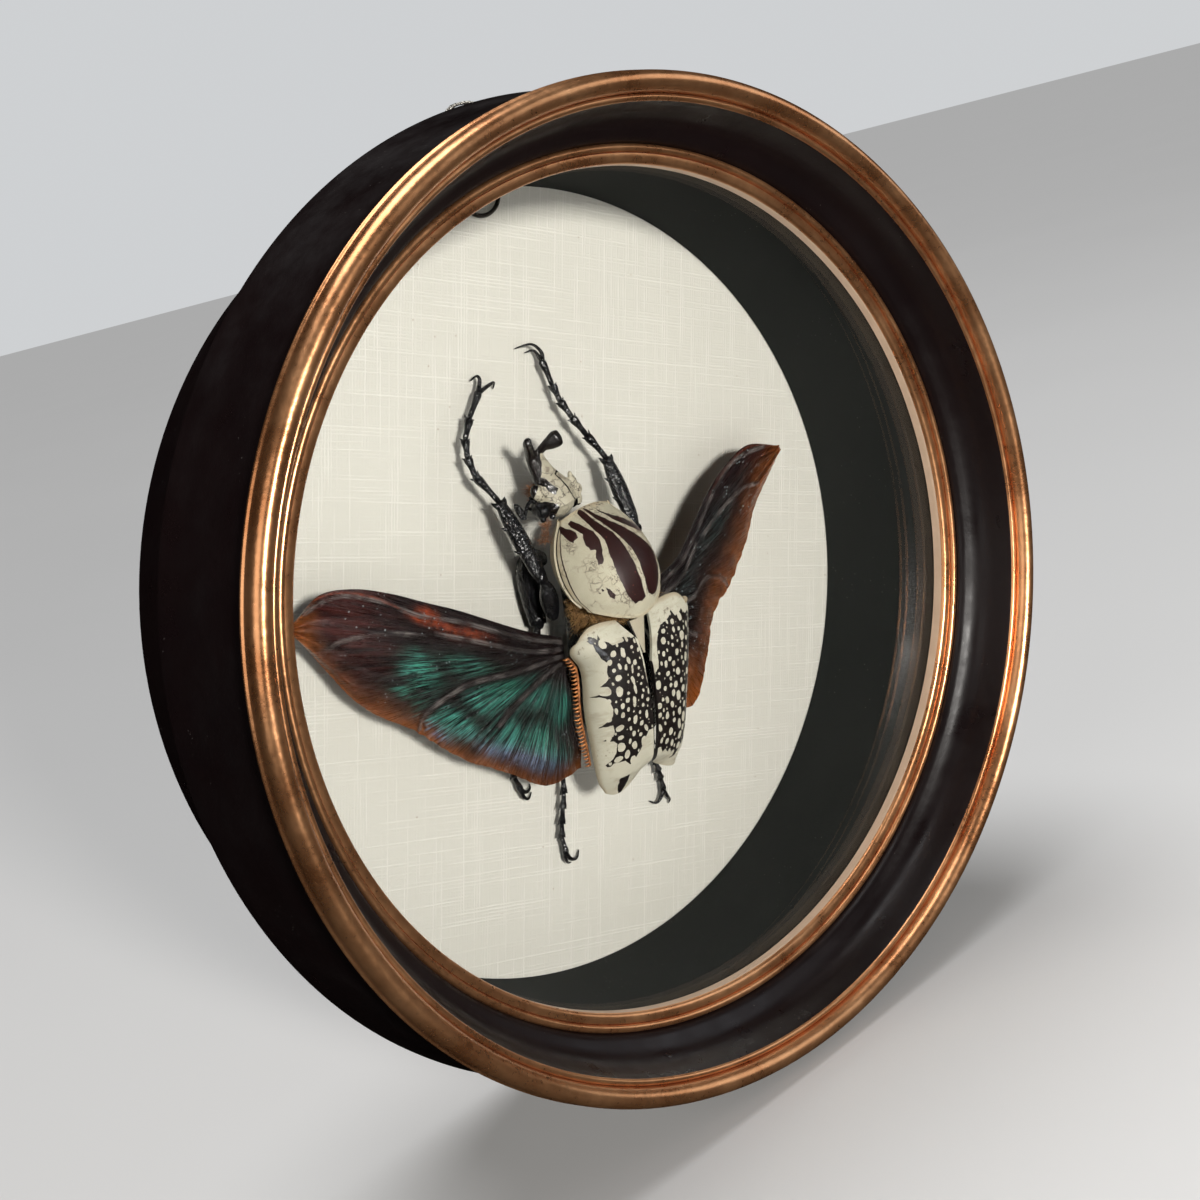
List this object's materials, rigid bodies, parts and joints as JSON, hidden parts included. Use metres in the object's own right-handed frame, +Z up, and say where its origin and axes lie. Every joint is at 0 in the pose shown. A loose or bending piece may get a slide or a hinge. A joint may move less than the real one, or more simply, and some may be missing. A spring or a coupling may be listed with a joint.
{
  "type": "framed goliath beetle",
  "caption": "Goliath beetle with spread wings, mounted on a linen card in a round, deep, glazed box frame with a black and gilt moulding.",
  "frame": {"origin": "centre of the flat back, where the part rests against the wall", "axes": "+Y into the wall, +Z up, with the beetle's head up; the glass faces -Y"},
  "size_m": [0.214, 0.0655, 0.2165],
  "materials": {
    "black": "black lacquer, with a gilt bead and lip on the moulding",
    "glass": "clear, flat",
    "lining": "matte black",
    "card": "matte cream, embossed like linen",
    "board": "bare fibreboard",
    "wire": "dull",
    "chitin": "glossy black",
    "chalk": "chalky white with black and dark red-brown markings",
    "wing": "dark brown membrane with amber edges and a green sheen"
  },
  "bodies": {
    "root": {"frame_moulding": "black", "glass_pane": "glass", "box_ring": "black", "wall_lining": "lining", "mount_card": "card", "backing_board": "board", "hanger_loop": "wire", "wire_loop": "wire", "mounting_pin": "wire", "torso": "chitin", "head": "chalk", "shield": "chalk", "scutellum": "chalk", "wing_case_left": "chalk", "wing_case_right": "chalk", "flight_wing_left": "wing", "flight_wing_right": "wing", "antenna_left": "chitin", "antenna_right": "chitin", "leg_front_left": "chitin", "leg_front_right": "chitin", "leg_middle_left": "chitin", "leg_middle_right": "chitin", "leg_hind_left": "chitin", "leg_hind_right": "chitin"}
  },
  "joints": []
}
